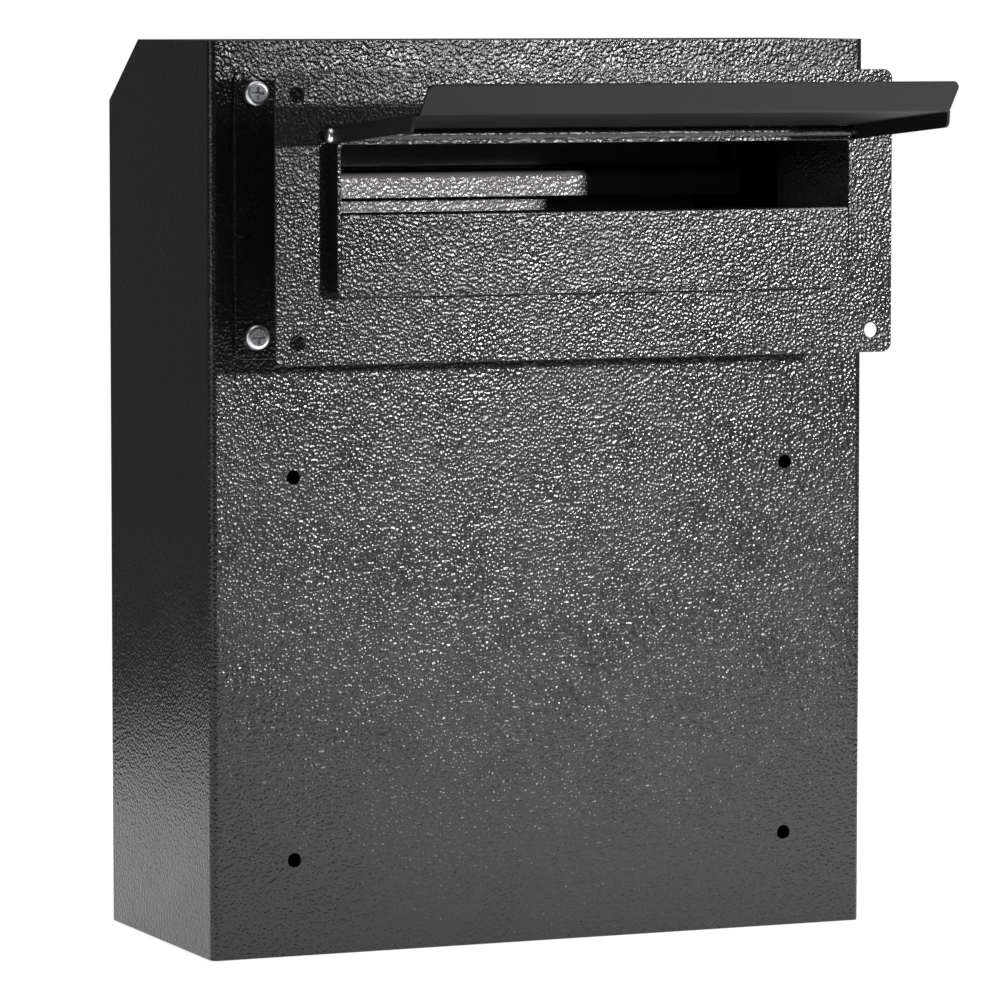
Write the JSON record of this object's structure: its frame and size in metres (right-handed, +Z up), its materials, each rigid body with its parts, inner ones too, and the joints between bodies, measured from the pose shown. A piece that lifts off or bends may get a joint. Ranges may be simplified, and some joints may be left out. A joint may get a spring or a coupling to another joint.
{
  "type": "book drop box",
  "caption": "Slim locking steel box that hangs behind a door, with a chute through the door to a faceplate, a letter slot and a lift-up flap.",
  "frame": {"origin": "centre of the underside of the box", "axes": "+Z up, -Y toward the door and the person who drops a letter in, +X to that person's right"},
  "size_m": [0.2986, 0.2915, 0.381],
  "materials": {
    "paint_textured": "black hammered powder coat, glossy orange-peel texture",
    "paint_smooth": "smooth satin black powder coat",
    "zinc": "bright zinc plate",
    "lock_chrome": "bright nickel chrome"
  },
  "bodies": {
    "box": {"body_shell": "paint_textured", "top_panel": "paint_textured", "bottom_panel": "paint_textured", "stop_strips": "paint_textured", "header_ledge": "paint_textured", "chute_tube": "paint_textured", "faceplate": "paint_textured", "inner_flange": "paint_textured", "slot_panel": "paint_textured", "hinge_barrel": "paint_textured", "flange_screws": "zinc", "flange_washers": "zinc", "flange_nuts": "zinc", "frame_leaf": "paint_textured", "frame_leaf_rivets": "zinc", "door_hinge_pin": "zinc"},
    "flap": {"flap": "paint_smooth", "flap_rod": "zinc", "flap_rod_cap": "zinc"},
    "access_door": {"access_door": "paint_textured", "door_leaf": "paint_textured", "door_leaf_rivets": "zinc", "lock_body": "lock_chrome", "lock_nut": "zinc"},
    "lock_plug": {"lock_plug": "lock_chrome", "lock_cam": "zinc", "cam_screw": "zinc"}
  },
  "joints": [
    {"name": "flap_hinge", "type": "hinge", "parent": "box", "child": "flap", "pos_m": [0, -0.1203, 0.34295], "axis": [1, 0, 0], "range_deg": [-80, 94.4]},
    {"name": "access_door_hinge", "type": "hinge", "parent": "box", "child": "access_door", "pos_m": [0.13275, 0.0674, 0.1657], "axis": [0, 0, -1], "range_deg": [0, 170]},
    {"name": "lock_turn", "type": "hinge", "parent": "access_door", "child": "lock_plug", "pos_m": [-0.10825, 0.0639, 0.1657], "axis": [0, 1, 0], "range_deg": [0, 90]}
  ]
}
